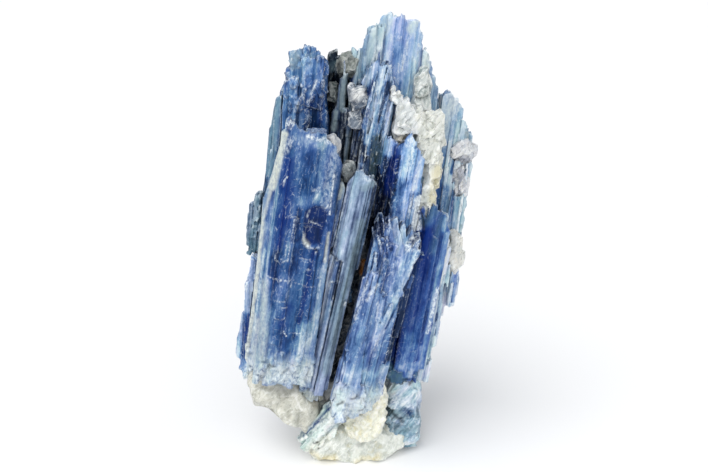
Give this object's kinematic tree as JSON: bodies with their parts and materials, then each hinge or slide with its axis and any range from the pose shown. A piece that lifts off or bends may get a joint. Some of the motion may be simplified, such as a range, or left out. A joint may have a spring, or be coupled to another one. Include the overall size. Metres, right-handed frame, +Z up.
{
  "type": "kyanite in quartz specimen",
  "caption": "Upright hand specimen of long bladed blue kyanite crystals, grown side by side in white, cream and smoky quartz, standing on a broken quartz base.",
  "frame": {"origin": "on the surface the specimen stands on, under the middle of its outline", "axes": "+Z up, the specimen's front towards -Y, its right side towards +X"},
  "size_m": [0.0582, 0.0358, 0.108],
  "materials": {
    "kyanite_deep": "vitreous to pearly, striated along the blades",
    "kyanite_pale": "pearly, streaked and splintery",
    "kyanite_grey": "silky, fluted along the blades",
    "quartz_white": "glassy, translucent, with veils",
    "quartz_cream": "waxy, milky",
    "quartz_smoky": "glassy, translucent, conchoidal breaks"
  },
  "bodies": {
    "root": {"back_left_blade": "kyanite_deep", "foot_flake": "kyanite_deep", "front_left_blade": "kyanite_deep", "left_low_blade": "kyanite_deep", "rear_middle_blades": "kyanite_deep", "right_deep_blade": "kyanite_deep", "right_edge_blade": "kyanite_deep", "centre_cluster": "kyanite_pale", "crest_blade": "kyanite_pale", "lower_centre_blades": "kyanite_pale", "rear_right_blades": "kyanite_pale", "upper_centre_blade": "kyanite_pale", "crest_right_blades": "kyanite_grey", "crest_shoulder": "kyanite_grey", "foot_mass": "kyanite_grey", "left_edge_crystal": "kyanite_grey", "left_rim_blades": "kyanite_grey", "middle_blade": "kyanite_grey", "middle_splinters": "kyanite_grey", "rear_left_blades": "kyanite_grey", "rear_low_blades": "kyanite_grey", "right_inner_blade": "kyanite_grey", "right_outer_blades": "kyanite_grey", "right_strip_blades": "kyanite_grey", "slot_blades": "kyanite_grey", "slot_rear_blade": "kyanite_grey", "base_quartz": "quartz_white", "centre_quartz": "quartz_white", "crest_quartz": "quartz_white", "right_quartz": "quartz_white", "upper_quartz": "quartz_white", "cream_quartz_foot": "quartz_cream", "cream_quartz_vein": "quartz_cream", "right_low_quartz": "quartz_cream", "crevice_quartz": "quartz_smoky", "front_quartz_crust": "quartz_smoky", "middle_quartz_grain": "quartz_smoky", "slot_low_quartz": "quartz_smoky", "slot_quartz": "quartz_smoky", "smoky_quartz": "quartz_smoky"}
  },
  "joints": []
}
